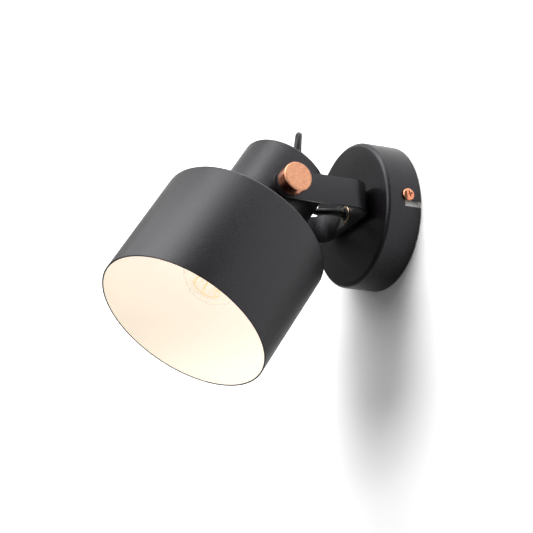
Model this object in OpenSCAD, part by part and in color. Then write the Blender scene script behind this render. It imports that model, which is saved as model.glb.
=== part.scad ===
// Wall spotlight: a round canopy on the wall carries a bent strip yoke, and a drum shade tilts in it.
// Origin on the wall at the centre of the canopy, +Z up, the room towards -Y. Lengths in millimetres.

/* [Canopy] */
// Diameter of the canopy
canopy_d = 100; // [94:1:120]
// Distance from the wall to the canopy's front face
canopy_depth = 25.5; // [24:0.5:34]
// Sheet thickness of the canopy
canopy_wall = 1.5; // [1:0.1:2]
// Radius of the canopy's rounded front edge
canopy_edge_r = 3; // [2:0.5:8]
// Distance from the wall to the canopy's side screws
screw_reach = 10; // [9:0.5:12]
// Angle of the side screws below the level line
screw_turn = 3; // [0:0.5:5]
// Twist that locks the canopy on its screws
lock_twist = 6.5; // [6:0.5:10]
// Width of the locking slots
slot_w = 4.3; // [4.2:0.1:5]
// Length of the rubber grommet round the lead in the hollow nipple
grommet_len = 8; // [5:0.5:9]
// Diameter of the grommet's lip in front of the nipple's ring
grommet_d = 9.6; // [9:0.1:10.4]
// Thickness of the grommet's lip
grommet_lip = 0.4; // [0.3:0.1:1]

/* [Fasteners] */
// Thread diameter of the side screws
screw_d = 4; // [3:0.5:4]
// Head diameter of the side screws
screw_head_d = 8.6; // [8:0.2:9]
// Head height of the side screws
screw_head_h = 2.6; // [2:0.1:3]
// Outer diameter of the two hollow nipples
nipple_d = 10; // [9:0.5:11]
// Bore of the hollow nipples
nipple_bore = 8; // [7:0.5:8]
// Diameter of the front nipple's turned-over ring
nipple_ring_d = 11.4; // [11:0.2:14]
// Height of the front nipple's ring
nipple_ring_h = 0.7; // [0.5:0.1:1.5]
// Distance across the flats of the nipple nuts
nut_af = 14; // [13:0.5:16]
// Thickness of the nipple nuts
nut_h = 3; // [2:0.5:3.5]
// Thickness of the wave washer behind the canopy
wave_washer_h = 0.8; // [0.5:0.1:1]

/* [Bracket] */
// Width of the wall bracket
bracket_w = 25; // [20:1:28]
// Sheet thickness of the wall bracket
bracket_t = 1.5; // [1:0.1:2]
// Height of the bent ears above the wall
ear_len = 14.5; // [14.5:0.5:18]
// Diameter of the bracket's middle hole for the house cable
entry_d = 13; // [10:1:16]
// Distance between the two wall screw slots
wall_pitch = 60; // [50:2:64]
// Width of the wall screw slots
wall_slot_w = 5; // [4:0.5:6]
// Length of the wall screw slots
wall_slot_len = 11; // [8:1:13]
// Width of the tab that carries the terminal block
tab_w = 33; // [31:1:40]

/* [Terminal block] */
// Length of the terminal block
block_l = 29; // [26:1:30]
// Width of the terminal block
block_w = 17; // [15:1:18]
// Height of the terminal block
block_h = 13; // [12:0.5:15]
// Distance between neighbouring poles
pole_pitch = 9; // [8:0.5:9.5]
// Outer diameter of the brass tube in each pole
pole_d = 5; // [4.5:0.1:5.5]
// Bore of the brass tube in each pole
pole_bore = 3; // [2.8:0.1:3.4]
// Diameter of the clamping screws
clamp_screw_d = 3; // [2.5:0.1:3.4]
// Outer diameter of the internal wires
wire_d = 1.8; // [1.6:0.1:2.2]

/* [Yoke] */
// Width of the yoke strip
yoke_w = 20; // [16:1:24]
// Thickness of the yoke strip
yoke_t = 2; // [1.5:0.1:2.5]
// Gap between the neck cup and the inside of each arm
arm_gap = 3; // [2.5:0.1:8]
// Outer bend radius of the yoke
yoke_bend_r = 15; // [8:0.5:16]
// Distance from the wall to the tilt axis
pivot_reach = 91.5; // [90:0.5:110]
// How far the round arm ends are centred beyond the tilt axis
arm_over = 1; // [0:0.5:4]
// Thickness of the disc between the canopy and the yoke
spacer_h = 1.5; // [1.2:0.1:3]
// Diameter of the disc between the canopy and the yoke
spacer_d = 20; // [19.5:0.5:24]
// Angle that the solid part of the disc spans beside the stop groove
stop_span = 40; // [30:5:90]
// Diameter of the swivel stop pin
stop_pin_d = 1.8; // [1.5:0.1:2]

/* [Tilt joint] */
// Angle of the shade below level at rest
tilt = 54.5; // [30:0.5:85]
// Diameter of the thumb knobs
knob_d = 20; // [14:1:26]
// Length of the thumb knobs
knob_len = 9.8; // [7:0.1:16]
// Chamfer of the knob's outer edge
knob_chamfer = 0.6; // [0.3:0.1:1.5]
// Diameter of the threaded studs
stud_d = 6; // [5:0.5:7]
// Diameter of the rubber washers under the knobs
washer_d = 19; // [12:0.5:20]
// Thickness of the rubber washers
washer_h = 2.7; // [1:0.1:4]
// Diameter of the threaded bushes in the neck cup
bush_d = 12; // [10:0.5:16]
// How far the bushes reach inside the neck cup's wall
bush_inside = 3; // [2:0.5:4]

/* [Head] */
// Diameter of the neck cup
cup_d = 62; // [58:1:66]
// Wall thickness of the neck cup
cup_wall = 1.5; // [1:0.1:2]
// Distance from the tilt axis to the cup's closed rear end
cup_back = 30.5; // [28:0.1:34]
// Radius of the cup's rear edge
cup_edge_r = 2; // [1.5:0.1:6]
// Distance from the tilt axis to the shade's shoulder
neck_len = 27.5; // [24:0.5:40]
// Outer diameter of the shade
shade_d = 118.5; // [110:0.5:130]
// Height of the shade from shoulder to opening
shade_h = 83; // [78:1:100]
// Sheet thickness of the shade
shade_wall = 1; // [0.7:0.1:1.5]
// Radius of the shade's shoulder
shade_edge_r = 2.5; // [1.5:0.5:10]
// Diameter of the lampholder where the shade ring screws on
holder_d = 39.5; // [38:0.5:42]
// Length of the lampholder
holder_len = 43; // [42:1:50]
// Bore of the lampholder for the lamp cap
holder_bore = 29.6; // [29.6:0.1:31]
// Outer diameter of the shade ring
ring_d = 50; // [46:1:56]
// Height of the shade ring
ring_h = 6; // [4:0.5:9]
// Diameter of the cord grip on the back of the cup
grip_d = 15; // [13:0.5:18]
// Length of the cord grip
grip_len = 9; // [7:0.5:10]

/* [Lamp] */
// Diameter of the glass bulb
bulb_d = 45; // [40:1:60]
// Distance from the cap's tip to the top of the bulb
bulb_len = 78; // [74:1:84]
// Glass thickness
glass_wall = 1; // [0.8:0.1:1.5]
// Diameter of the screw cap
cap_d = 26.4; // [26:0.1:26.6]
// Length of the screw cap
cap_len = 24; // [22:1:26]
// Number of glowing filaments
filament_n = 6; // [4:1:8]
// Length of each filament
filament_len = 37; // [28:1:38]
// Diameter of each filament
filament_d = 1.8; // [1.2:0.1:2.4]
// Radius of the filament ring at its top
filament_top_r = 9; // [6:0.5:11]

/* [Lead] */
// Diameter of the lead between the canopy and the head
lead_d = 4.8; // [4.6:0.1:5.6]
// Length of the clamp collar on the lead inside the canopy
collar_len = 4; // [3:0.5:5]

/* [Clearances] */
// Radial clearance of a shaft, thread or pin in its hole
fit = 0.05; // [0.03:0.01:0.1]
// Gap between faces that turn past each other
face_gap = 0.1; // [0.05:0.05:0.3]
// Gap between parts that move apart
run_gap = 0.3; // [0.2:0.05:0.5]

/* [Hidden] */
$fn = 96;

// Overshoot of cutting solids
over = 1;
// How far a nipple passes its nut, and how far the rear one stands out of the cup
thread_over = 1.5;
nipple_out = 5;
canopy_r = canopy_d / 2;
canopy_in_r = canopy_r - canopy_wall;
canopy_in_z = canopy_depth - canopy_wall;
// Each ear stands just inside the canopy, measured at the ear's corners
ear_x = sqrt(pow(canopy_in_r, 2) - pow(bracket_w / 2, 2)) - run_gap;
// Angle by which the locking slot's corner is cut back, inside the straight part's half width
slot_corner = 0.75 * asin(slot_w / 2 / canopy_r);
screw_len = canopy_r - ear_x * cos(screw_turn) + bracket_t + 3;

// Heights along the canopy's axis, measured out from the wall
disc_z = canopy_depth + face_gap;
yoke_back = disc_z + spacer_h;
yoke_front = yoke_back + yoke_t;
nipple_front = yoke_front + face_gap + nipple_ring_h;
nut_z = canopy_in_z - wave_washer_h - nut_h;
nipple_back = nut_z - thread_over;
collar_z = nipple_back - run_gap - collar_len;
lead_back = collar_z - 1;

// The stop pin runs in the disc's groove between the nipple and the disc's rim
stop_r = (nipple_d + spacer_d) / 4 - face_gap;
groove_w = stop_pin_d + 2 * run_gap;

block_gap = 3;
tab_len = block_w + block_gap;
block_y = -bracket_w / 2 - tab_len + block_w / 2;
block_screw_d = 3;
earth_x = 17;
earth_y = -5;
lug_d = 8;
lug_t = 0.8;
lug_wall = 0.5;
lug_r = wire_d / 2 + fit + lug_wall;
lug_reach = 11;
lug_barrel = 4.5;
pole_z = bracket_t + 5;

// The yoke's inside is as wide as the cup and a gap on each side
yoke_inner = cup_d + 2 * arm_gap;
arm_outer = yoke_inner / 2 + yoke_t;
knob_x = arm_outer + washer_h + run_gap;
bush_x = yoke_inner / 2 - run_gap;
// How deep the stud is pressed into the knob
stud_seat = knob_len * 0.6;
cup_r = cup_d / 2;
shade_r = shade_d / 2;

// Heights along the head's axis, measured from the tilt axis towards the opening
cup_floor = cup_wall - cup_back;
grip_z = -cup_back - grip_len;
ring_z = neck_len + shade_wall;
seam_z = neck_len + shade_edge_r + 1.5;
holder_front = ring_z + ring_h + 0.5;
holder_back = holder_front - holder_len;
floor_h = 4;
contact_rise = 12;
contact_z = holder_back + floor_h + contact_rise;
carrier_h = 4;
carrier_z = contact_z - carrier_h - 1;
holder_screw_h = 2;
holder_wire_z = carrier_z - holder_screw_h - run_gap - wire_d / 2;
shell_r = holder_bore / 2 - run_gap;
shell_t = 0.5;
shell_z = contact_z + 6;
lead_end = holder_back + floor_h - 1;

// Heights and radii of the lamp: the tip's contact, the insulator, the cap and the glass neck in it
bulb_tip = contact_z + run_gap;
tip_h = 1;
tip_r = 2.5;
insulator_h = 4;
insulator_r = 5.5;
cap_z = bulb_tip + tip_h + insulator_h;
cap_top = bulb_tip + tip_h + cap_len;
thread_depth = 1.2;
thread_pitch = 3.6;
cap_shell_r = cap_d / 2 - thread_depth;
cap_bore_r = cap_shell_r - 0.8;
neck_r = cap_bore_r - fit;
glass_z = cap_top - 4;
bulb_top = bulb_tip + bulb_len;
bulb_mid = bulb_top - bulb_d / 2;
// Angle below the bulb's widest line at which the sphere runs into the neck
flare = 35;
stem_r = 6;
stem_foot = 3;
stem_flare = 10;
stem_top_r = 3;
filament_r0 = 4;
filament_rise = 13;
filament_z = glass_z + filament_rise;

// Route of the lead's centre line: out of the front nipple, up past the cup on the far side,
// over in one loop and down into the cord grip
lead_r = lead_d / 2;
lead_bends = [[-0.5, -35, 0.8], [-2.4, -39.8, 1.6], [-6, -43.6, 2.5], [-10.6, -45.8, 4.2],
    [-14.8, -46.6, 8], [-18, -47, 14.5], [-20.4, -47.4, 23], [-22, -48, 32], [-22.6, -49.2, 41.5],
    [-20.8, -50.8, 50.4], [-15.4, -53, 57.2], [-9, -55.8, 58.8], [-4.2, -59, 55.6], [-1.6, -61.4, 50],
    [-0.4, -63.2, 43.8]];
lead_out = [22, 30.5];
lead_in = [45, 40, 33, 20];
lead_path = concat([[0, -lead_back, 0]], [for (a = lead_out) [0, -a, 0]], lead_bends,
    [for (a = lead_in) head_point(a)], [head_point(-lead_end)]);

// Routes of the internal wires in the canopy: from the lead's stripped end to the poles and the lug
wire_start = lead_back - face_gap;
entry_z = block_y + block_w / 2;
barrel_y = -bracket_t - lug_r;
function wire_root(x, z) = [for (i = [0 : 2]) [x, 0.8 * i - wire_start, z]];
live_path = concat(wire_root(-1.2, -0.7), [[-2, -10.5, -2], [-4.5, -8.5, -6], [-8, -7, -10.5],
    [-pole_pitch, -pole_z, entry_z + 1.5], [-pole_pitch, -pole_z, entry_z], [-pole_pitch, -pole_z, entry_z - 5]]);
neutral_path = concat(wire_root(1.2, -0.7), [[1.2, -10.5, -2], [0.8, -8.5, -6], [0.2, -7, -10.5],
    [0, -pole_z, entry_z + 1.5], [0, -pole_z, entry_z], [0, -pole_z, entry_z - 5]]);
earth_path = concat(wire_root(0, 1.35), [[0.8, -9.5, 1.2], [1.6, -6.8, -0.6], [2.4, -4.4, -3.2],
    [earth_x - lug_reach - 2, barrel_y, earth_y], [earth_x - lug_reach - 0.5, barrel_y, earth_y],
    [earth_x - lug_reach + 3.5, barrel_y, earth_y]]);

// Turns a shape drawn with +Z out of the wall into the room
module out() rotate([90, 0, 0]) children();

// Places a shape drawn with +Z from the tilt axis to the shade's opening
module head() translate([0, -pivot_reach, 0]) rotate([90 + tilt, 0, 0]) children();

// A point on the head's axis, a distance behind the tilt axis
function head_point(a) = [0, -pivot_reach + a * cos(tilt), a * sin(tilt)];

// Turns a shape drawn with +Z outwards to the right (s = 1) or the left (s = -1) of the tilt axis
module pivot(s) translate([0, -pivot_reach, 0]) rotate([0, s * 90, 0]) children();

// Solid disc with one rounded edge, on z = 0
module rounded_disc(r, h, edge) rotate_extrude() disc_outline(r, h, edge);

module disc_outline(r, h, edge) {
    square([r - edge, h]);
    square([r, h - edge]);
    translate([r - edge, h - edge]) circle(edge);
}

module tube(d, bore, h) difference() {
    cylinder(d = d, h = h);
    translate([0, 0, -over]) cylinder(d = bore, h = h + 2 * over);
}

module hex_nut(af, bore, h) difference() {
    cylinder(d = af / cos(30), h = h, $fn = 6);
    translate([0, 0, -over]) cylinder(d = bore, h = h + 2 * over);
}

// Pan head with a cross recess, its seat on z = 0
module pan_head(d, h) difference() {
    rounded_disc(d / 2, h, h * 0.45);
    for (a = [0, 90]) rotate(a)
        translate([-d * 0.3, -d * 0.065, h * 0.45]) cube([d * 0.6, d * 0.13, h]);
}

// Cheese head with a straight slot, its seat on z = 0
module slot_head(d, h) difference() {
    cylinder(d = d, h = h);
    translate([-d, -d * 0.09, h * 0.5]) cube([2 * d, d * 0.18, h]);
}

// Straight slot with round ends along X
module slot_cut(len, w, h) {
    for (s = [-1, 1]) translate([s * (len - w) / 2, 0, 0]) cylinder(d = w, h = h);
    translate([-(len - w) / 2, -w / 2, 0]) cube([len - w, w, h]);
}

function unit(v) = v / norm(v);
function curve(a, b, c, d, t) =
    (2 * b + (c - a) * t + (2 * a - 5 * b + 4 * c - d) * t * t + (3 * b - a - 3 * c + d) * t * t * t) / 2;
function last(p) = len(p) - 1;
function smooth(p, n) = [for (i = [0 : last(p) - 1], k = [0 : n - 1])
    curve(p[max(i - 1, 0)], p[i], p[i + 1], p[min(i + 2, last(p))], k / n), p[last(p)]];
function tangents(q) = [for (i = [0 : last(q)]) unit(q[min(i + 1, last(q))] - q[max(i - 1, 0)])];
function flatten_on(v, t) = unit(v - (v * t) * t);
function normals(t) = [for (i = 0, v = flatten_on([0.3, 0.2, 1], t[0]); i < len(t); i = i + 1,
    v = i < len(t) ? flatten_on(v, t[i]) : v) v];

// Round cord of radius r through the points p, n rings a span, s sides
module cord(p, r, n, s) {
    q = smooth(p, n);
    t = tangents(q);
    u = normals(t);
    rings = [for (i = [0 : last(q)], k = [0 : s - 1])
        q[i] + r * (cos(360 * k / s) * u[i] + sin(360 * k / s) * cross(t[i], u[i]))];
    side = [for (i = [0 : last(q) - 1], k = [0 : s - 1]) let (a = i * s + k, b = i * s + (k + 1) % s)
        each [[a, b + s, b], [a, a + s, b + s]]];
    ends = [for (k = [1 : s - 2]) each [[0, k, k + 1],
        [last(q) * s, last(q) * s + k + 1, last(q) * s + k]]];
    polyhedron(points = rings, faces = concat(side, ends));
}

// Places a shape drawn with +Z outwards at each side screw
module at_screws() for (a = [0, 180]) rotate([0, 0, a - screw_turn])
    translate([canopy_r, 0, screw_reach]) rotate([0, 90, 0]) children();

// Zinc strip on the wall with two bent ears and a tab for the terminal block
module wall_bracket() color([0.78, 0.8, 0.82]) out() difference() {
    union() {
        translate([-ear_x, -bracket_w / 2, 0]) cube([2 * ear_x, bracket_w, bracket_t]);
        for (s = [-1, 1]) translate([s * (ear_x - bracket_t / 2) - bracket_t / 2, -bracket_w / 2, 0])
            cube([bracket_t, bracket_w, ear_len]);
        translate([-tab_w / 2, -bracket_w / 2 - tab_len, 0]) cube([tab_w, tab_len + over, bracket_t]);
    }
    translate([0, 0, -over]) cylinder(d = entry_d, h = bracket_t + 2 * over);
    for (s = [-1, 1]) translate([s * wall_pitch / 2, 0, -over])
        slot_cut(wall_slot_len, wall_slot_w, bracket_t + 2 * over);
    at_screws() translate([0, 0, -screw_len - over])
        cylinder(d = screw_d + 2 * fit, h = screw_len + over);
    translate([earth_x, earth_y, -over]) cylinder(d = screw_d + 2 * fit, h = bracket_t + 2 * over);
    translate([pole_pitch / 2, block_y, -over])
        cylinder(d = block_screw_d + 2 * fit, h = bracket_t + 2 * over);
}

// Earth screw in the bracket, under a ring lug
module earth_screw() color([0.8, 0.66, 0.35]) out() translate([earth_x, earth_y, 0]) {
    cylinder(d = screw_d, h = bracket_t + 1);
    translate([0, 0, bracket_t + lug_t]) slot_head(lug_d - 1, 2.4);
}

// Ring lug with a crimped barrel on the earth wire
module earth_lug() color([0.75, 0.76, 0.78]) out() translate([earth_x, earth_y, bracket_t]) {
    tube(lug_d, screw_d + 2 * fit, lug_t);
    difference() {
        union() {
            translate([-lug_reach, -1.2, 0]) cube([lug_reach - lug_d / 2 + 0.8, 2.4, lug_t]);
            translate([-lug_reach, 0, lug_r]) rotate([0, 90, 0]) cylinder(r = lug_r, h = lug_barrel);
        }
        translate([-lug_reach - over, 0, lug_r]) rotate([0, 90, 0])
            cylinder(d = wire_d + 2 * fit, h = lug_barrel + 2 * over);
    }
}

// Nylon block with three poles, screwed to the bracket's tab
module terminal_block() color([0.93, 0.93, 0.9]) out() translate([0, block_y, bracket_t]) difference() {
    translate([-block_l / 2, -block_w / 2, 0]) cube([block_l, block_w, block_h]);
    for (i = [-1 : 1]) translate([i * pole_pitch, 0, 0]) {
        translate([0, block_w / 2 + over, pole_z - bracket_t]) rotate([90, 0, 0])
            cylinder(d = pole_d + 2 * fit, h = block_w + 2 * over);
        for (s = [-1, 1]) translate([0, s * block_w / 4, pole_z - bracket_t])
            cylinder(d = clamp_screw_d + 2 * run_gap, h = block_h);
    }
    translate([pole_pitch / 2, 0, -over]) cylinder(d = block_screw_d + 2 * fit, h = block_h + 2 * over);
}

// Brass tubes that join the wires in the block
module pole_tubes() color([0.85, 0.7, 0.4]) out() translate([0, block_y, pole_z])
    for (i = [-1 : 1]) translate([i * pole_pitch, block_w / 2 - 1, 0]) rotate([90, 0, 0]) difference() {
        cylinder(d = pole_d, h = block_w - 2);
        translate([0, 0, -over]) cylinder(d = pole_bore, h = block_w + 2 * over);
        for (s = [-1, 1]) translate([0, 0, block_w / 2 - 1 + s * block_w / 4]) rotate([-90, 0, 0])
            cylinder(d = clamp_screw_d + 2 * fit, h = pole_d);
    }

// Six clamping screws down into the brass tubes
module clamp_screws() color([0.8, 0.82, 0.84]) out() translate([0, block_y, pole_z])
    for (i = [-1 : 1], s = [-1, 1]) translate([i * pole_pitch, s * block_w / 4, wire_d / 2 + run_gap])
        difference() {
            cylinder(d = clamp_screw_d, h = block_h - pole_z + bracket_t - wire_d / 2 - run_gap - 1);
            translate([-clamp_screw_d, -0.3, block_h - pole_z + bracket_t - wire_d / 2 - run_gap - 1.8])
                cube([2 * clamp_screw_d, 0.6, 2]);
        }

// Screw between two poles that holds the block on the tab
module block_screw() color([0.75, 0.77, 0.8]) out() translate([pole_pitch / 2, block_y, 0]) {
    cylinder(d = block_screw_d, h = bracket_t + block_h);
    translate([0, 0, bracket_t + block_h]) difference() {
        cylinder(d = min(2 * block_screw_d - 0.6, pole_pitch - clamp_screw_d), h = 1.8);
        translate([-block_screw_d, -0.35, 1]) cube([2 * block_screw_d, 0.7, 1]);
    }
}

// Insulated wires from the lead's stripped end
module wire_live() color([0.45, 0.26, 0.12]) cord(live_path, wire_d / 2, 2, 8);
module wire_neutral() color([0.15, 0.35, 0.75]) cord(neutral_path, wire_d / 2, 2, 8);
module wire_earth() color([0.35, 0.65, 0.2]) cord(earth_path, wire_d / 2, 2, 8);

// Round sheet cover with two open locking slots in its side
module canopy() color([0.13, 0.13, 0.14]) out() difference() {
    rotate(90) rotate_extrude() difference() {
        disc_outline(canopy_r, canopy_depth, canopy_edge_r);
        translate([0, -over])
            disc_outline(canopy_in_r, canopy_in_z + over, max(canopy_edge_r - canopy_wall, 0.3));
    }
    cylinder(d = nipple_d + 2 * fit, h = canopy_depth + over);
    translate([0, -stop_r, 0]) cylinder(d = stop_pin_d + 2 * fit, h = canopy_depth + over);
    at_screws() translate([0, 0, -canopy_wall - over])
        cylinder(d = slot_w + 0.3, h = canopy_wall + 2 * over);
    for (a = [0, 180]) rotate(a - screw_turn - lock_twist) {
        rotate(-slot_corner) rotate_extrude(angle = lock_twist + slot_corner)
            translate([canopy_in_r - over, screw_reach - slot_w / 2])
                square([canopy_wall + 2 * over, slot_w]);
        translate([canopy_in_r - over, -slot_w / 2, -over])
            cube([canopy_wall + 2 * over, slot_w, screw_reach + over]);
    }
}

// Two pan head screws through the slots into the bracket's ears
module canopy_screws() color([0.8, 0.5, 0.38]) out() at_screws() {
    translate([0, 0, face_gap]) pan_head(screw_head_d, screw_head_h);
    translate([0, 0, -screw_len]) cylinder(d = screw_d, h = screw_len + screw_head_h * 0.3);
}

// Hollow threaded nipple: it holds the yoke to the canopy and guides the lead
module front_nipple() color([0.8, 0.55, 0.4]) out() difference() {
    union() {
        translate([0, 0, nipple_back]) cylinder(d = nipple_d, h = nipple_front - nipple_back);
        translate([0, 0, nipple_front - nipple_ring_h]) cylinder(d = nipple_ring_d, h = nipple_ring_h);
    }
    translate([0, 0, nipple_back - over])
        cylinder(d = nipple_bore, h = nipple_front - nipple_back + 2 * over);
}

// Rubber grommet pressed into the nipple round the lead
module lead_grommet() color([0.08, 0.08, 0.08]) out() difference() {
    union() {
        translate([0, 0, nipple_front - nipple_ring_h - grommet_len])
            cylinder(d = nipple_bore, h = nipple_ring_h + grommet_len + grommet_lip / 2);
        translate([0, 0, nipple_front]) cylinder(d = grommet_d, h = grommet_lip);
    }
    translate([0, 0, nipple_back]) cylinder(d = lead_d + 2 * face_gap, h = nipple_front);
}

// Wave washer that sets the swivel's friction
module wave_washer() color([0.7, 0.72, 0.74]) out() translate([0, 0, canopy_in_z - wave_washer_h])
    tube(nut_af + 2, nipple_d + 2 * fit, wave_washer_h);

module canopy_nut() color([0.8, 0.7, 0.45]) out() translate([0, 0, nut_z])
    hex_nut(nut_af, nipple_d + 2 * fit, nut_h);

// Clamp collar that keeps the lead from being pulled out
module lead_collar() color([0.85, 0.85, 0.83]) out() translate([0, 0, collar_z])
    tube(lead_d + 4, lead_d + 2 * fit, collar_len);

// Pin in the canopy's face that stops the swivel
module stop_pin() color([0.6, 0.62, 0.64]) out() translate([0, -stop_r, canopy_in_z])
    cylinder(d = stop_pin_d, h = canopy_wall + face_gap + spacer_h - run_gap);

// Strip bent into a U, with a hole in the middle and one in each round arm end
module yoke() color([0.15, 0.15, 0.16]) {
    arm_end = pivot_reach + arm_over;
    corner_x = arm_outer - yoke_bend_r;
    corner_y = -yoke_back - yoke_bend_r;
    difference() {
        intersection() {
            translate([0, 0, -yoke_w / 2]) linear_extrude(yoke_w) difference() {
                union() {
                    translate([-arm_outer, -arm_end - yoke_w])
                        square([2 * arm_outer, arm_end + yoke_w + corner_y]);
                    translate([-corner_x, corner_y - over])
                        square([2 * corner_x, yoke_bend_r + over]);
                    for (s = [-1, 1]) translate([s * corner_x, corner_y]) circle(yoke_bend_r);
                }
                translate([-yoke_inner / 2, -arm_end - yoke_w - over])
                    square([yoke_inner, arm_end + yoke_w + over + corner_y]);
                translate([-corner_x, corner_y - over])
                    square([2 * corner_x, yoke_bend_r - yoke_t + over]);
                for (s = [-1, 1]) translate([s * corner_x, corner_y]) circle(yoke_bend_r - yoke_t);
            }
            rotate([0, 90, 0]) translate([0, 0, -arm_outer - over]) linear_extrude(2 * arm_outer + 2 * over) {
                translate([0, -arm_end]) circle(yoke_w / 2);
                translate([-yoke_w / 2, -arm_end]) square([yoke_w, arm_end]);
            }
        }
        out() cylinder(d = nipple_d + 2 * fit, h = yoke_front + over);
        pivot(1) translate([0, 0, -arm_outer - over])
            cylinder(d = stud_d + 2 * fit, h = 2 * arm_outer + 2 * over);
    }
}

// Disc behind the yoke with the groove that the stop pin runs in
module swivel_disc() color([0.1, 0.1, 0.1]) out() translate([0, 0, disc_z]) difference() {
    cylinder(d = spacer_d, h = spacer_h);
    translate([0, 0, -over]) cylinder(d = nipple_d + 2 * fit, h = spacer_h + 2 * over);
    rotate(90 + stop_span / 2) rotate_extrude(angle = 360 - stop_span)
        translate([stop_r - groove_w / 2, -over]) square([groove_w, spacer_h + 2 * over]);
}

// Rubber washers between the arms and the knobs
module knob_washers() color([0.07, 0.07, 0.07]) for (s = [-1, 1]) pivot(s)
    translate([0, 0, arm_outer]) tube(washer_d, stud_d + 2 * run_gap, washer_h);

// Lead from the canopy to the lampholder
module lamp_lead() color([0.1, 0.1, 0.1]) cord(lead_path, lead_r, 2, 10);

// Spun cup, closed at the back, with holes for the bushes and the rear nipple
module neck_cup() color([0.15, 0.15, 0.16]) difference() {
    head() difference() {
        translate([0, 0, neck_len]) mirror([0, 0, 1])
            rounded_disc(cup_r, neck_len + cup_back, cup_edge_r);
        translate([0, 0, neck_len + over]) mirror([0, 0, 1])
            rounded_disc(cup_r - cup_wall, neck_len + over - cup_floor, max(cup_edge_r - cup_wall, 0.2));
        translate([0, 0, -cup_back - over]) cylinder(d = nipple_d + 2 * fit, h = cup_wall + 2 * over);
    }
    pivot(1) translate([0, 0, -cup_r - over]) cylinder(d = bush_d, h = 2 * cup_r + 2 * over);
}

// Threaded bushes pressed into the cup's sides; they space the cup from the arms
module tilt_bushes() color([0.6, 0.6, 0.62]) for (s = [-1, 1]) pivot(s)
    translate([0, 0, cup_r - cup_wall - bush_inside])
        tube(bush_d, stud_d + 2 * fit, bush_x - cup_r + cup_wall + bush_inside);

// Hollow nipple through the back of the cup
module rear_nipple() color([0.8, 0.68, 0.42]) head() translate([0, 0, -cup_back - nipple_out])
    tube(nipple_d, nipple_bore, holder_back + floor_h + cup_back + nipple_out);

// Cord grip screwed on the rear nipple outside the cup
module cord_grip() color([0.09, 0.09, 0.09]) head() difference() {
    translate([0, 0, -cup_back]) mirror([0, 0, 1]) rounded_disc(grip_d / 2, grip_len, grip_d / 6);
    translate([0, 0, -cup_back - nipple_out - face_gap])
        cylinder(d = nipple_d + 2 * fit, h = nipple_out + face_gap + over);
    translate([0, 0, grip_z - over]) cylinder(d = lead_d + 2 * fit, h = grip_len + over);
}

module cup_nut() color([0.8, 0.7, 0.45]) head() translate([0, 0, cup_floor])
    hex_nut(nut_af, nipple_d + 2 * fit, nut_h);

// Lampholder body with a floor that the rear nipple screws into
module lampholder() color([0.12, 0.12, 0.12]) head() translate([0, 0, holder_back]) difference() {
    cylinder(d = holder_d, h = holder_len);
    translate([0, 0, floor_h]) cylinder(d = holder_bore, h = holder_len);
    translate([0, 0, -over]) cylinder(d = nipple_d + 2 * fit, h = floor_h + 2 * over);
}

// Brass screw shell that the lamp cap turns in
module holder_shell() color([0.82, 0.68, 0.4]) head() translate([0, 0, shell_z])
    tube(2 * shell_r, 2 * (shell_r - shell_t), cap_top - shell_z - over);

// Porcelain contact carrier with the brass centre contact
module holder_contact() color([0.9, 0.86, 0.78]) head() {
    translate([0, 0, carrier_z]) cylinder(r = shell_r, h = carrier_h);
    translate([0, 0, carrier_z + carrier_h / 2]) cylinder(d = 8, h = contact_z - carrier_z - carrier_h / 2);
}

// Terminal screws on the back of the contact carrier
module holder_screws() color([0.8, 0.82, 0.84]) head() for (s = [-1, 1])
    translate([s * 8, 0, carrier_z]) mirror([0, 0, 1]) slot_head(5, holder_screw_h);

// Stripped wires inside the lampholder, from the lead's end to the screws
module head_wires() color([0.45, 0.26, 0.12]) head() for (s = [-1, 1])
    cord([[s * 1.5, 0, lead_end + face_gap], [s * 1.5, 0, lead_end + 1.2], [s * 1.5, 0, lead_end + 2.2],
        [s * 4, 0, holder_wire_z], [s * 7, 0, holder_wire_z], [s * 9.5, 0, holder_wire_z]],
        wire_d / 2, 2, 8);

// Rolled side of the drum shade, welded to the pressed back
module shade() color([0.15, 0.15, 0.16]) head() translate([0, 0, seam_z])
    tube(shade_d, shade_d - 2 * shade_wall, neck_len + shade_h - seam_z);

// Pressed back of the drum shade: rounded shoulder, low rim and a hole for the lampholder
module shade_back() color([0.15, 0.15, 0.16]) head() difference() {
    translate([0, 0, neck_len + shade_h]) mirror([0, 0, 1]) rounded_disc(shade_r, shade_h, shade_edge_r);
    translate([0, 0, neck_len + shade_h + over]) mirror([0, 0, 1])
        rounded_disc(shade_r - shade_wall, shade_h + over - shade_wall, max(shade_edge_r - shade_wall, 0.2));
    translate([0, 0, neck_len - over]) cylinder(d = holder_d + 2 * fit, h = shade_wall + 2 * over);
    translate([0, 0, seam_z]) cylinder(r = shade_r + over, h = shade_h);
}

// Threaded ring that clamps the shade on the lampholder
module shade_ring() color([0.92, 0.9, 0.86]) head() translate([0, 0, ring_z])
    tube(ring_d, holder_d + 2 * fit, min(ring_h, holder_front - ring_z));

// Outline of the bulb: a sphere that runs into a straight neck
module bulb_outline(grow) difference() {
    union() {
        translate([0, bulb_mid]) circle(bulb_d / 2 - grow);
        polygon([[0, glass_z + grow], [neck_r - grow, glass_z + grow], [neck_r - grow, cap_top],
            [bulb_d / 2 * cos(flare) - grow, bulb_mid - bulb_d / 2 * sin(flare)], [0, bulb_mid]]);
    }
    translate([-bulb_d, glass_z - bulb_d]) square([bulb_d, bulb_len + 2 * bulb_d]);
}

module bulb_glass() color([0.95, 0.9, 0.8, 0.4]) head() difference() {
    rotate_extrude() bulb_outline(0);
    rotate_extrude() bulb_outline(glass_wall);
    translate([0, 0, glass_z - over]) cylinder(r = stem_r, h = glass_wall + 2 * over);
}

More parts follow.
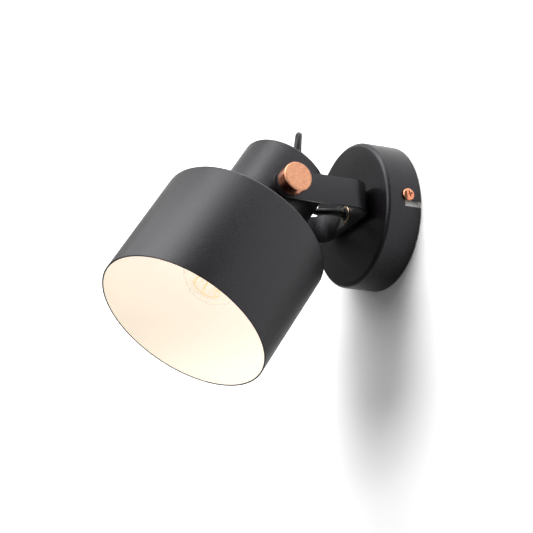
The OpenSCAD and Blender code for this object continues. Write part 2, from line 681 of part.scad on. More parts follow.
// Screw cap: a thin shell with a rolled thread
module bulb_cap() color([0.78, 0.78, 0.76]) head() difference() {
    union() {
        translate([0, 0, cap_z]) cylinder(r = cap_shell_r, h = cap_top - cap_z);
        rotate_extrude() for (i = [0 : 3])
            translate([cap_shell_r + 0.1, cap_z + 2.5 + thread_pitch * i]) circle(thread_depth - 0.1);
    }
    translate([0, 0, cap_z - over]) cylinder(r = cap_bore_r, h = cap_len + 2 * over);
}

// Glass insulator and soldered tip of the cap
module cap_insulator() color([0.1, 0.1, 0.12]) head() difference() {
    translate([0, 0, bulb_tip + tip_h]) cylinder(r1 = insulator_r, r2 = cap_bore_r - fit, h = insulator_h + 1);
    translate([0, 0, bulb_tip]) cylinder(r = tip_r + fit, h = 3 * tip_h);
}
module cap_contact() color([0.8, 0.7, 0.5]) head() translate([0, 0, bulb_tip])
    cylinder(r = tip_r, h = 3 * tip_h - run_gap);

// Glass stem that carries the filaments
module bulb_stem() color([0.9, 0.92, 0.9]) head() {
    translate([0, 0, glass_z]) cylinder(r = stem_r - fit, h = stem_foot);
    translate([0, 0, glass_z + stem_foot - 0.5]) cylinder(r1 = stem_r - fit, r2 = stem_top_r, h = stem_flare);
    translate([0, 0, glass_z + stem_flare])
        cylinder(r = filament_r0 / 2, h = filament_z - glass_z - stem_flare + 1);
    translate([0, 0, filament_z]) cylinder(r = filament_r0 - filament_d / 2 - fit, h = 1.5);
}

// Straight glowing filaments that lean outwards from the stem
module filaments() color([1, 0.8, 0.45]) head() for (i = [0 : filament_n - 1]) rotate(360 * i / filament_n)
    translate([filament_r0, 0, filament_z])
        rotate([0, asin((filament_top_r - filament_r0) / filament_len), 0])
            cylinder(d = filament_d, h = filament_len);

// Turned copper knob with a chamfered edge
module knob(s) color([0.87, 0.62, 0.47]) pivot(s) translate([0, 0, knob_x]) difference() {
    union() {
        cylinder(d = knob_d, h = knob_len - knob_chamfer);
        translate([0, 0, knob_len - knob_chamfer])
            cylinder(d1 = knob_d, d2 = knob_d - 2 * knob_chamfer, h = knob_chamfer);
    }
    translate([0, 0, -over]) cylinder(d = stud_d, h = stud_seat + over);
}

// Threaded stud pressed into the knob; it turns in the bush and carries the head
module stud(s) color([0.7, 0.72, 0.74]) pivot(s) translate([0, 0, cup_r - cup_wall - bush_inside + 0.5])
    cylinder(d = stud_d, h = knob_x + stud_seat - cup_r + cup_wall + bush_inside - 0.5);

module knob_right() knob(1);
module stud_right() stud(1);
module knob_left() knob(-1);
module stud_left() stud(-1);

wall_bracket();
earth_screw();
earth_lug();
terminal_block();
pole_tubes();
clamp_screws();
block_screw();
wire_live();
wire_neutral();
wire_earth();
canopy();
canopy_screws();
front_nipple();
lead_grommet();
wave_washer();
canopy_nut();
lead_collar();
stop_pin();
yoke();
swivel_disc();
knob_washers();
lamp_lead();
neck_cup();
tilt_bushes();
rear_nipple();
cord_grip();
cup_nut();
lampholder();
holder_shell();
holder_contact();
holder_screws();
head_wires();
shade();
shade_back();
shade_ring();
bulb_glass();
bulb_cap();
cap_insulator();
cap_contact();
bulb_stem();
filaments();
knob_right();
stud_right();
knob_left();
stud_left();
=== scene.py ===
"""Wall spotlight: a canopy, a swivelling strip yoke and a drum shade that tilts between two copper knobs.
Local outlines are drawn in millimetres and placed by three frames: OUT, HEAD and the two PIVOTs."""
import math

import bmesh
import bpy
from mathutils import Matrix, Vector


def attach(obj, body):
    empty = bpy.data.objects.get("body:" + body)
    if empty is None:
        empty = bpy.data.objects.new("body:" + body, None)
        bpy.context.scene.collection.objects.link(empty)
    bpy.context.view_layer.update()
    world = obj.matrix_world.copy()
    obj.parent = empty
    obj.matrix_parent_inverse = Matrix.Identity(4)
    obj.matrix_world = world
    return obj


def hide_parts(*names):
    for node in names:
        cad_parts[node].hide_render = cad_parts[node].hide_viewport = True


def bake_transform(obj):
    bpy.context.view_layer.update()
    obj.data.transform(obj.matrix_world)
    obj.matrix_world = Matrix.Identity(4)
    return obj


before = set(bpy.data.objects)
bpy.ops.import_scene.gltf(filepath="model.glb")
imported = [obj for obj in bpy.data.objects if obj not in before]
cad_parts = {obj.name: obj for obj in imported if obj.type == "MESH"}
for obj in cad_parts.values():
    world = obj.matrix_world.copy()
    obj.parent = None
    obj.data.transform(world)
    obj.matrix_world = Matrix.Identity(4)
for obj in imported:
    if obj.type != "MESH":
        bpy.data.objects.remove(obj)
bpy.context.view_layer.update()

MM = 0.001
TURNS = 160

# Sizes of the main pieces, in millimetres, as in the part's source
CANOPY_R, CANOPY_H, CANOPY_WALL, CANOPY_EDGE = 50, 25.5, 1.5, 3
SCREW_REACH, SCREW_TURN, LOCK_TWIST, SLOT_W = 10, 3, 6.5, 4.3
NIPPLE_R, NIPPLE_BORE_R, NIPPLE_RING_R = 5, 4, 5.7
YOKE_W, YOKE_T, YOKE_INNER, YOKE_BEND = 20, 2, 68, 15
YOKE_BACK, REACH, ARM_OVER = 27.1, 91.5, 1
TILT = 54.5
KNOB_R, KNOB_LEN, KNOB_X, STUD_R = 10, 9.8, 39.0, 3
CUP_R, CUP_WALL, CUP_BACK, NECK = 31, 1.5, 30.5, 27.5
SHADE_R, SHADE_H, SHADE_WALL, SHADE_EDGE = 59.25, 83, 1, 2.5
HOLDER_R, HOLDER_BORE_R, RING_R, RING_H = 19.75, 14.8, 25, 6
HOLDER_FRONT = NECK + SHADE_WALL + RING_H + 0.5
HOLDER_BACK = HOLDER_FRONT - 43
BULB_R, BULB_TOP = 22.5, 86.3
LEAD_R = 2.4
GAP = 0.05  # between a hole and what sits in it

# The camera looks at the tilt axis from the right and a little below
PHOTO = 533
FOCAL_PX = 1732.436
VIEW_AZIMUTH, VIEW_ELEVATION, VIEW_ROLL = 61.577, -20.145, -3.708
VIEW_DISTANCE = 1.154645
PIVOT_PX = (264.201, 203.391)

OUT = Matrix.Rotation(math.radians(90), 4, "X")
HEAD = Matrix.Translation((0, -REACH, 0)) @ Matrix.Rotation(math.radians(90 + TILT), 4, "X")
PIVOT = {s: Matrix.Translation((0, -REACH, 0)) @ Matrix.Rotation(math.radians(90 * s), 4, "Y")
         for s in (-1, 1)}
HEAD_AXIS = (HEAD.to_3x3() @ Vector((0, 0, 1))).normalized()


# Shader maths

class Wire:
    """A shader socket that takes part in arithmetic: each operator adds its Math node."""

    def __init__(self, sheet, socket):
        self.sheet, self.socket = sheet, socket

    def math(self, operation, *values):
        return self.sheet.node("ShaderNodeMath", {"operation": operation}, list(values))

    def __add__(self, other):
        return self.math("ADD", self, other)

    def __sub__(self, other):
        return self.math("SUBTRACT", self, other)

    def __rsub__(self, other):
        return self.math("SUBTRACT", other, self)

    def __mul__(self, other):
        return self.math("MULTIPLY", self, other)

    def __truediv__(self, other):
        return self.math("DIVIDE", self, other)

    __radd__, __rmul__ = __add__, __mul__


class Sheet:
    """The node sheet of a finish, of the stage's paint, of the world or of a tree that copies a shape."""

    def __init__(self, tree):
        self.tree = tree
        tree.nodes.clear()

    def node(self, kind, settings=None, values=None, output=0):
        """Adds a node: its settings first, then its sockets by place or by name. Gives one output."""
        made = self.tree.nodes.new(kind)
        for key, value in (settings or {}).items():
            if key == "stops":
                band = made.color_ramp.elements
                while len(band) < len(value):
                    band.new(0.5)
                for element, (at, colour) in zip(band, value):
                    element.position, element.color = at, (*colour, 1)
            else:
                setattr(made, key, value)
        values = values or {}
        for key, value in values.items() if isinstance(values, dict) else enumerate(values):
            self.put(made.inputs[key], value)
        return Wire(self, made.outputs[output] if made.outputs else made)

    def put(self, socket, value):
        if isinstance(value, Wire):
            self.tree.links.new(value.socket, socket)
        else:
            socket.default_value = value

    def place(self):
        return self.node("ShaderNodeTexCoord", output="Object")

    def noise(self, scale, detail=2.0, at=None):
        return self.node("ShaderNodeTexNoise", {}, {"Vector": at or self.place(), "Scale": scale,
                                                    "Detail": detail}, "Fac")

    def stretched(self, scale, turn=(0, 0, 0)):
        """Object place, turned and stretched."""
        return self.node("ShaderNodeMapping", {}, {"Vector": self.place(), "Rotation": turn, "Scale": scale})

    def ramp(self, value, *stops):
        """Colour ramp through stops of (place, colour)."""
        return self.node("ShaderNodeValToRGB", {"stops": stops}, [value])

    def spread(self, value, low, high):
        """Stretches a value from 0..1 to low..high."""
        return self.node("ShaderNodeMapRange", {}, {"Value": value, "To Min": low, "To Max": high}, "Result")

    def blend(self, share, one, two):
        """Mixes two colours."""
        one, two = (c if isinstance(c, Wire) else (*c, 1) for c in (one, two))
        return self.node("ShaderNodeMix", {"data_type": "RGBA"}, {0: share, 6: one, 7: two}, 2)


class Finish(Sheet):
    """A material with one Principled shader. Even values go straight on its own sockets."""

    def __init__(self, name, **fixed):
        self.material = bpy.data.materials.new(name)
        self.material.use_nodes = True
        super().__init__(self.material.node_tree)
        shader = self.node("ShaderNodeBsdfPrincipled")
        self.node("ShaderNodeOutputMaterial", {}, {"Surface": shader})
        self.shader = shader.socket.node
        self.set(**fixed)

    def bump(self, height, distance, strength=1.0):
        self.set(Normal=self.node("ShaderNodeBump", {}, {
            "Height": height, "Distance": distance, "Strength": strength}, "Normal"))

    def set(self, **values):
        for socket, value in values.items():
            self.put(self.shader.inputs[socket.replace("_", " ")], value)
        return self.material


def tone(red, green, blue):
    """A linear colour from 0..255 screen values."""
    return tuple(c / 12.92 if c <= 0.04045 else ((c + 0.055) / 1.055) ** 2.4
                 for c in (red / 255, green / 255, blue / 255))


# Finishes

def powder_coat():
    """Fine matt black powder coat: a soft orange-peel grain that sparkles a little where light grazes it."""
    # the cool specular tint is painted cool lamp light in the coat's highlights
    sheet = Finish("powder_coat", Specular_IOR_Level=0.47, Specular_Tint=(0.95, 0.94, 1.0, 1))
    grain = sheet.noise(1300, 3.0)
    peel = sheet.noise(420, 2.0)
    sheet.bump(grain * 0.9 + peel * 0.2, 0.0002, 1.0)
    base = sheet.ramp(grain, (0.3, tone(12, 10, 12)), (0.75, tone(21, 18, 21)))
    return sheet.set(Base_Color=base, Roughness=sheet.spread(grain, 0.27, 0.43))


def shade_lining():
    """White paint on the inside of the shade. The lamp's light on it is painted in as a glow (emission) that
    turns warmer towards the rim. The paint's cream tint is partly its own colour and partly painted warm lamp
    light.
    """
    sheet = Finish("shade_lining", Roughness=0.55, Emission_Strength=0.39)
    place = sheet.place()
    depth = sheet.node("ShaderNodeVectorMath", {"operation": "DOT_PRODUCT"},
                       [place, tuple(HEAD_AXIS)], "Value")
    start = HEAD_AXIS.dot(Vector((0, -REACH * MM, 0))) + NECK * MM
    along = (depth - start) / (SHADE_H * MM)
    # painted glow: emission that stands in for the lamp's light on the lining, warmer towards the rim
    painted_glow = sheet.ramp(along, (0.0, (1.0, 0.92, 0.83)), (0.6, (1.0, 0.90, 0.78)), (1.0, (1.0, 0.86, 0.66)))
    # cream paint, its warmth partly painted warm lamp light
    paint = sheet.ramp(sheet.noise(900), (0.3, (0.86, 0.82, 0.77)), (0.7, (0.9, 0.86, 0.81)))
    sheet.bump(sheet.noise(700, 3.0), 0.00005, 0.4)
    return sheet.set(Base_Color=paint, Emission_Color=painted_glow)


def copper_face():
    """Copper plating on a brushed face: fine straight scratches and a satin shine."""
    sheet = Finish("copper_face", Metallic=1.0)
    scratch = sheet.noise(900, 4.0, sheet.stretched((1, 0.35, 2.4), (0.12, 0, 0)))
    speck = sheet.noise(2000, 2.0)
    sheet.bump(scratch * 0.8 + speck * 0.4, 0.00006, 0.6)
    colour = sheet.ramp(scratch, (0.3, tone(196, 138, 106)), (0.5, tone(211, 152, 119)),
                        (0.7, tone(224, 170, 138)))
    return sheet.set(Base_Color=colour, Roughness=sheet.spread(speck, 0.34, 0.52))


def copper_side():
    """Copper plating on a turned side: fine rings round the knob's axis."""
    sheet = Finish("copper_side", Metallic=1.0)
    line = sheet.noise(420, 3.0, sheet.stretched((9, 0.5, 0.5)))
    sheet.bump(line, 0.00004, 0.5)
    colour = sheet.ramp(line, (0.3, tone(190, 112, 84)), (0.7, tone(228, 152, 118)))
    return sheet.set(Base_Color=colour, Roughness=sheet.spread(line, 0.16, 0.3))


def metal(name, dark, light, rough, grain=700, depth=0.00003):
    """A plain metal with a fine grain."""
    sheet = Finish(name, Metallic=1.0)
    speck = sheet.noise(grain, 3.0)
    sheet.bump(speck, depth, 0.5)
    return sheet.set(Base_Color=sheet.ramp(speck, (0.3, dark), (0.7, light)),
                     Roughness=sheet.spread(speck, rough * 0.8, rough * 1.25))


def zinc_plate():
    """Zinc-plated sheet: faint cloudy spangle over fine rolling grain. Its near-white, barely metallic base
    is partly the zinc's pale colour and partly painted reflection of the white wall.
    """
    sheet = Finish("zinc_plate", Metallic=0.15)
    cloud = sheet.noise(160, 4.0)
    grain = sheet.noise(2500, 2.0)
    sheet.bump(grain, 0.00003, 0.5)
    # near-white tones: partly painted reflection of the white wall
    colour = sheet.ramp(cloud, (0.3, tone(228, 230, 228)), (0.55, tone(242, 244, 241)),
                        (0.75, tone(250, 251, 249)))
    return sheet.set(Base_Color=colour, Roughness=sheet.spread(cloud, 0.28, 0.5))


def moulded(name, dark, light, rough, grain=1200, depth=0.00005, **fixed):
    """Moulded plastic, rubber or glazed ceramic: near-even colour and a fine surface."""
    sheet = Finish(name, **fixed)
    speck = sheet.noise(grain, 2.0)
    patch = sheet.noise(90, 2.0)
    sheet.bump(speck, depth, 0.6)
    return sheet.set(Base_Color=sheet.ramp(patch, (0.3, dark), (0.7, light)),
                     Roughness=sheet.spread(speck, rough * 0.85, rough * 1.2))


def clear_glass():
    """Clear blown glass, a little uneven."""
    sheet = Finish("clear_glass", Transmission_Weight=1.0, IOR=1.2)
    return sheet.set(Base_Color=(1.0, 0.998, 0.99, 1), Roughness=sheet.spread(sheet.noise(60), 0.0, 0.02))


def glowing(name, middle, edge, strength):
    """A glowing coating: paler along its middle and amber where it is thin."""
    sheet = Finish(name, Emission_Strength=strength, Roughness=0.5)
    share = sheet.noise(500, 2.0)
    return sheet.set(Base_Color=sheet.ramp(share, (0.35, (0.09, 0.05, 0.02)), (0.6, (0.12, 0.08, 0.03))),
                     Emission_Color=sheet.ramp(share, (0.35, edge), (0.6, middle)))


# Meshes

def soften(corners, steps=5):
    """Rounds an outline: each corner is (r, z) or (r, z, radius)."""
    points = []
    total = len(corners)
    for i, corner in enumerate(corners):
        here = Vector(corner[:2])
        radius = corner[2] if len(corner) > 2 else 0
        if not radius:
            points.append(tuple(here))
            continue
        back = (Vector(corners[i - 1][:2]) - here).normalized()
        ahead = (Vector(corners[(i + 1) % total][:2]) - here).normalized()
        half = back.angle(ahead) / 2
        reach = radius / math.tan(half)
        centre = here + (back + ahead).normalized() * (radius / math.sin(half))
        first, last = here + back * reach - centre, here + ahead * reach - centre
        sweep = first.angle_signed(last)
        for k in range(steps + 1):
            turn = Matrix.Rotation(-sweep * k / steps, 2)
            points.append(tuple(centre + turn @ first))
    return points


def keep(name, mesh_maker, place):
    """Makes an object at the origin from a bmesh in millimetres, placed by a frame."""
    mesh_maker.transform(Matrix.Scale(MM, 4) @ place)
    bmesh.ops.recalc_face_normals(mesh_maker, faces=mesh_maker.faces)
    mesh = bpy.data.meshes.new(name)
    mesh_maker.to_mesh(mesh)
    mesh_maker.free()
    piece = bpy.data.objects.new(name, mesh)
    bpy.context.scene.collection.objects.link(piece)
    return piece


def turned(name, corners, place, turns=TURNS, steps=5):
    """A turned solid: a closed outline of (r, z) corners spun round the frame's Z axis."""
    outline = soften(corners, steps)
    shape = bmesh.new()
    rings = []
    for r, z in outline:
        if r < 1e-6:
            rings.append([shape.verts.new((0, 0, z))])
        else:
            rings.append([shape.verts.new((r * math.cos(a), r * math.sin(a), z))
                          for a in (2 * math.pi * k / turns for k in range(turns))])
    for i, ring in enumerate(rings):
        ahead = rings[(i + 1) % len(rings)]
        if len(ring) == 1 and len(ahead) == 1:
            continue
        for k in range(turns):
            n = (k + 1) % turns
            corner = [ring[0]] if len(ring) == 1 else [ring[k], ring[n]]
            other = [ahead[0]] if len(ahead) == 1 else [ahead[n], ahead[k]]
            shape.faces.new(corner + other)
    return keep(name, shape, place)


def cylinder(r, low, high):
    """Corners of a plain cylinder's outline."""
    return [(0, low), (r, low), (r, high), (0, high)]


def drop(*pieces):
    """Deletes helper pieces."""
    for piece in pieces:
        bpy.data.objects.remove(piece, do_unlink=True)


def finished(piece):
    """Applies a piece's modifiers."""
    graph = bpy.context.evaluated_depsgraph_get()
    mesh = bpy.data.meshes.new_from_object(piece.evaluated_get(graph))
    piece.modifiers.clear()
    piece.data = mesh
    return piece


def cut(piece, *cutters, bevel=0.0):
    """Cuts holes, then breaks the sharp edges by a bevel in millimetres."""
    for cutter in cutters:
        step = piece.modifiers.new("cut", "BOOLEAN")
        step.operation, step.object, step.solver = "DIFFERENCE", cutter, "EXACT"
    if bevel:
        ease(piece, bevel)
    finished(piece)
    drop(*cutters)
    return piece


def ease(piece, width, segments=2, angle=35):
    """Adds a bevel on the sharp edges, in millimetres."""
    step = piece.modifiers.new("ease", "BEVEL")
    step.width, step.segments = width * MM, segments
    step.limit_method, step.angle_limit = "ANGLE", math.radians(angle)
    step.use_clamp_overlap = True
    step.miter_outer = "MITER_ARC"
    return piece


def smooth(piece, angle=32):
    """Smooth shading with sharp edges past an angle."""
    for face in piece.data.polygons:
        face.use_smooth = True
    piece.data.set_sharp_from_angle(angle=math.radians(angle))
    return piece


def skin(shape, rows):
    """Joins each ring of a row to the next and closes both ends."""
    for one, two in zip(rows, rows[1:]):
        for k in range(len(one)):
            n = (k + 1) % len(one)
            shape.faces.new((one[k], one[n], two[n], two[k]))
    shape.faces.new(rows[0])
    shape.faces.new(rows[-1])


def block(name, low, high, place):
    """A box between two corners."""
    shape = bmesh.new()
    bmesh.ops.create_cube(shape, size=1)
    for v in shape.verts:
        v.co = Vector([low[i] + (v.co[i] + 0.5) * (high[i] - low[i]) for i in range(3)])
    return keep(name, shape, place)


def copies_tree():
    """Copies a shape round the Z axis: each copy stands off by the radius and faces outwards."""
    tree = bpy.data.node_groups.new("round_copies", "GeometryNodeTree")
    kinds = {"Geometry": "Geometry", "Count": "Int", "Radius": "Float", "Turn": "Float", "Finish": "Material"}
    named = {}
    for label, kind in kinds.items():
        socket = tree.interface.new_socket(label, in_out="INPUT", socket_type="NodeSocket" + kind)
        named[label] = socket.identifier
    tree.interface.new_socket("Geometry", in_out="OUTPUT", socket_type="NodeSocketGeometry")
    sheet = Sheet(tree)
    inputs = sheet.node("NodeGroupInput").socket.node.outputs
    given = {label: Wire(sheet, inputs[label]) for label in kinds}
    spots = sheet.node("GeometryNodePoints", {}, {"Count": given["Count"]})
    shape = sheet.node("GeometryNodeTransform", {}, {
        "Geometry": given["Geometry"],
        "Translation": sheet.node("ShaderNodeCombineXYZ", {}, {"X": given["Radius"]})})
    turn = sheet.node("GeometryNodeInputIndex") * (2 * math.pi) / given["Count"]
    facing = sheet.node("FunctionNodeEulerToRotation", {}, [
        sheet.node("ShaderNodeCombineXYZ", {}, {"Z": turn})])
    copies = sheet.node("GeometryNodeInstanceOnPoints", {}, {
        "Points": spots, "Instance": shape, "Rotation": facing})
    turned_all = sheet.node("GeometryNodeTransform", {}, {
        "Geometry": copies, "Rotation": sheet.node("FunctionNodeEulerToRotation", {}, [
            sheet.node("ShaderNodeCombineXYZ", {}, {"Z": given["Turn"]})])})
    real = sheet.node("GeometryNodeRealizeInstances", {}, {"Geometry": turned_all})
    sheet.node("NodeGroupOutput", {}, [sheet.node(
        "GeometryNodeSetMaterial", {}, {"Geometry": real, "Material": given["Finish"]})])
    return tree, named


COPIES, COPIES_INPUT = copies_tree()


def round_copies(shape, count, radius, finish, place, turn=0.0):
    """Repeats a shape, drawn with +X outwards at radius 0, round a frame's Z axis, as one mesh."""
    step = shape.modifiers.new("copies", "NODES")
    step.node_group = COPIES
    for label, value in (("Count", count), ("Radius", radius * MM), ("Turn", math.radians(turn)),
                         ("Finish", finish)):
        step[COPIES_INPUT[label]] = value
    finished(shape)
    shape.data.transform(Matrix.Translation(place.translation * MM) @ place.to_3x3().to_4x4())
    return shape


def paint(piece, finish, other=None, where=None):
    """Gives a piece its finish, and the faces that where() picks the other one."""
    piece.data.materials.clear()
    piece.data.materials.append(finish)
    if other:
        piece.data.materials.append(other)
        for face in piece.data.polygons:
            face.material_index = int(where(face))
    return piece


def fit(piece, body, slot, *nodes):
    """Rides a piece on a body in place of CAD nodes."""
    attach(piece, body)
    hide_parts(*nodes)
    return piece


def into(place, point):
    """A point or face centre in metres, in a frame's own millimetres."""
    return place.inverted() @ (Vector(point) / MM)


FINISH = {
    "powder": powder_coat(),
    "lining": shade_lining(),
    "copper": copper_face(),
    "copper_side": copper_side(),
    "copper_screw": metal("copper_screw", tone(212, 120, 84), tone(244, 176, 140), 0.24),
    "ring_metal": metal("ring_metal", tone(226, 196, 158), tone(248, 232, 204), 0.2),
    "zinc": zinc_plate(),
    "steel": metal("steel", tone(150, 152, 156), tone(196, 198, 202), 0.3),
    "tin": metal("tin", tone(180, 182, 186), tone(214, 216, 220), 0.34),
    "brass": metal("brass", tone(196, 160, 92), tone(232, 198, 130), 0.28),
    "rubber": moulded("rubber", tone(20, 20, 21), tone(30, 30, 31), 0.6),
    "cord_sheath": moulded("cord_sheath", tone(5, 5, 6), tone(9, 9, 10), 0.34, grain=600,
                           Specular_IOR_Level=0.26),
    "black_nylon": moulded("black_nylon", tone(26, 26, 27), tone(38, 38, 40), 0.5),
    "nylon": moulded("nylon", tone(226, 225, 217), tone(240, 239, 232), 0.42,
                     Subsurface_Weight=0.08, Subsurface_Scale=0.002),
    "black_holder": moulded("black_holder", tone(24, 24, 25), tone(36, 36, 37), 0.3),
    "white_holder": moulded("white_holder", tone(232, 228, 218), tone(243, 239, 230), 0.32),
    "ceramic": moulded("ceramic", tone(226, 218, 198), tone(238, 231, 214), 0.2),
    "wire_brown": moulded("wire_brown", tone(104, 62, 34), tone(128, 78, 44), 0.4),
    "wire_blue": moulded("wire_blue", tone(38, 92, 168), tone(56, 116, 192), 0.4),
    "wire_green": moulded("wire_green", tone(92, 156, 46), tone(204, 204, 60), 0.4, grain=1200),
    "vitrite": moulded("vitrite", tone(18, 16, 24), tone(34, 30, 40), 0.15),
    "glass": clear_glass(),
    "filament": glowing("filament", (1.0, 0.76, 0.42), (1.0, 0.66, 0.32), 1.0),
}


def camera():
    """The camera of the photo: it looks at the tilt axis with a small roll."""
    azimuth, elevation, roll = (math.radians(v) for v in (VIEW_AZIMUTH, VIEW_ELEVATION, VIEW_ROLL))
    back = Vector((math.sin(azimuth) * math.cos(elevation),
                   -math.cos(azimuth) * math.cos(elevation), math.sin(elevation)))
    flat = Vector((math.cos(azimuth), math.sin(azimuth), 0))
    up = back.cross(flat)
    right = flat * math.cos(roll) + up * math.sin(roll)
    top = up * math.cos(roll) - flat * math.sin(roll)
    middle = PHOTO / 2
    aside = (PIVOT_PX[0] - middle) / FOCAL_PX * VIEW_DISTANCE
    above = -(PIVOT_PX[1] - middle) / FOCAL_PX * VIEW_DISTANCE
    eye = Vector((0, -REACH * MM, 0)) + VIEW_DISTANCE * back - aside * right - above * top
    data = bpy.data.cameras.new("camera")
    data.sensor_width = 36
    data.lens = FOCAL_PX * data.sensor_width / PHOTO
    data.clip_start, data.clip_end = 0.01, 50
    made = bpy.data.objects.new("camera", data)
    bpy.context.scene.collection.objects.link(made)
    made.matrix_world = Matrix.Translation(eye) @ Matrix((right, top, back)).transposed().to_4x4()
    bpy.context.scene.camera = made


# Pieces

def make_canopy():
    """Round cover with a locking slot for each side screw."""
    inner = CANOPY_R - CANOPY_WALL
    floor = CANOPY_H - CANOPY_WALL
    piece = turned("canopy", [
        (NIPPLE_R + GAP, CANOPY_H), (CANOPY_R, CANOPY_H, CANOPY_EDGE), (CANOPY_R, 0, 0.3),
        (inner, 0, 0.3), (inner, floor, CANOPY_EDGE - CANOPY_WALL), (NIPPLE_R + GAP, floor)], OUT, 256, 10)
    cutters = []
    for side in (0, 180):
        middle = math.radians(side - SCREW_TURN)
        turn = OUT @ Matrix.Rotation(middle, 4, "Z")
        low = OUT @ Matrix.Rotation(math.radians(side - SCREW_TURN - LOCK_TWIST), 4, "Z")
        hole = (turn @ Matrix.Translation((CANOPY_R - 4, 0, SCREW_REACH))
                @ Matrix.Rotation(math.pi / 2, 4, "Y"))
        cutters.append(turned("hole", cylinder(SLOT_W / 2 + 0.15, 0, 8), hole, 40))
        cutters.append(block("mouth", (CANOPY_R - 4, -SLOT_W / 2, -2),
                             (CANOPY_R + 4, SLOT_W / 2, SCREW_REACH + SLOT_W / 2), low))
        cutters.append(arc_block(CANOPY_R - 4, CANOPY_R + 4, SCREW_REACH - SLOT_W / 2,
                                 SCREW_REACH + SLOT_W / 2, LOCK_TWIST, low))
    cut(piece, *cutters)
    smooth(paint(piece, FINISH["powder"]))
    fit(piece, "wall", "black_paint", "canopy")


def arc_block(inner, outer, low, high, sweep, place, steps=8):
    """A block bent round the frame's Z axis, from angle 0 to sweep."""
    shape = bmesh.new()
    rows = []
    for k in range(steps + 1):
        a = math.radians(sweep) * k / steps
        rows.append([shape.verts.new((r * math.cos(a), r * math.sin(a), z))
                     for r, z in ((inner, low), (outer, low), (outer, high), (inner, high))])
    skin(shape, rows)
    return keep("arc", shape, place)


def make_yoke():
    """The strip's centre line runs up one arm, round the bend, across and back down the other arm."""
    half = YOKE_INNER / 2 + YOKE_T / 2
    bend = YOKE_BEND - YOKE_T / 2
    front = -(YOKE_BACK + YOKE_T / 2)
    tip = -(REACH + ARM_OVER)
    stations = []
    round_r = YOKE_W / 2
    for k in range(13):
        a = math.pi / 2 * k / 12
        stations.append(((half, tip - round_r * math.cos(a)), (1, 0), max(round_r * math.sin(a), 0.02)))
    stations.append(((half, (tip + front - bend) / 2), (1, 0), round_r))
    for k in range(17):
        a = math.pi / 2 * k / 16
        stations.append(((half - bend + bend * math.cos(a), front - bend + bend * math.sin(a)),
                         (math.cos(a), math.sin(a)), round_r))
    left = [((-x, y), (-nx, ny), w) for (x, y), (nx, ny), w in reversed(stations)]
    shape = bmesh.new()
    rows = []
    for (x, y), (nx, ny), w in stations + [((0, front), (0, 1), round_r)] + left:
        t = YOKE_T / 2
        rows.append([shape.verts.new((x + nx * t * i, y + ny * t * i, w * j))
                     for i, j in ((-1, -1), (1, -1), (1, 1), (-1, 1))])
    skin(shape, rows)
    piece = keep("yoke", shape, Matrix.Identity(4))
    bridge_hole = turned("hole", cylinder(NIPPLE_R + GAP, YOKE_BACK - 3, YOKE_BACK + YOKE_T + 3), OUT, 64)
    arm_holes = [turned("hole", cylinder(STUD_R + GAP, YOKE_INNER / 2 - 3, YOKE_INNER / 2 + 5), PIVOT[s], 64)
                 for s in (-1, 1)]
    cut(piece, bridge_hole, *arm_holes, bevel=0.45)
    smooth(paint(piece, FINISH["powder"]), 40)
    fit(piece, "yoke", "black_paint", "yoke")


def make_head():
    """Shade, neck cup, cord grip and the bushes of the tilt joint."""
    hole = HOLDER_R + GAP
    shade = turned("shade", [
        (hole, NECK), (SHADE_R, NECK, SHADE_EDGE), (SHADE_R, NECK + SHADE_H, 0.25),
        (SHADE_R - SHADE_WALL, NECK + SHADE_H, 0.25),
        (SHADE_R - SHADE_WALL, NECK + SHADE_WALL, SHADE_EDGE - SHADE_WALL),
        (hole, NECK + SHADE_WALL)], HEAD, 256, 8)

    def lined(face):
        spot = into(HEAD, face.center)
        away = math.hypot(spot.x, spot.y)
        edge = NECK + SHADE_H - 0.3
        return spot.z > NECK + SHADE_WALL - 0.05 and spot.z < edge and away < SHADE_R - SHADE_WALL + 0.1

    paint(shade, FINISH["powder"], FINISH["lining"], lined)
    fit(smooth(shade), "head", "black_paint", "shade", "shade_back")

    inner = CUP_R - CUP_WALL
    cup = turned("neck_cup", [
        (NIPPLE_R + GAP, -CUP_BACK), (CUP_R, -CUP_BACK, 2), (CUP_R, NECK), (inner, NECK),
        (inner, -CUP_BACK + CUP_WALL, 0.5), (NIPPLE_R + GAP, -CUP_BACK + CUP_WALL)], HEAD, 192, 8)
    holes = turned("hole", cylinder(6, -CUP_R - 5, CUP_R + 5), PIVOT[1], 64)
    cut(cup, holes)
    fit(smooth(paint(cup, FINISH["powder"])), "head", "black_paint", "neck_cup")

    grip = turned("cord_grip", [
        (LEAD_R + GAP, -CUP_BACK - 9), (7.5, -CUP_BACK - 9, 2.4), (7.5, -CUP_BACK, 0.3),
        (NIPPLE_R + GAP, -CUP_BACK), (NIPPLE_R + GAP, -CUP_BACK - 5.1),
        (LEAD_R + GAP, -CUP_BACK - 5.1)], HEAD, 64)
    fit(smooth(paint(grip, FINISH["black_nylon"])), "head", "black_nylon", "cord_grip")

    for s, name in ((1, "right"), (-1, "left")):
        bush = turned("tilt_bush_" + name, [
            (STUD_R + GAP, 26), (6, 26, 0.3), (6, 33.7, 0.3), (STUD_R + GAP, 33.7)], PIVOT[s], 64)
        fit(smooth(paint(bush, FINISH["steel"])), "head", "steel", "tilt_bushes")


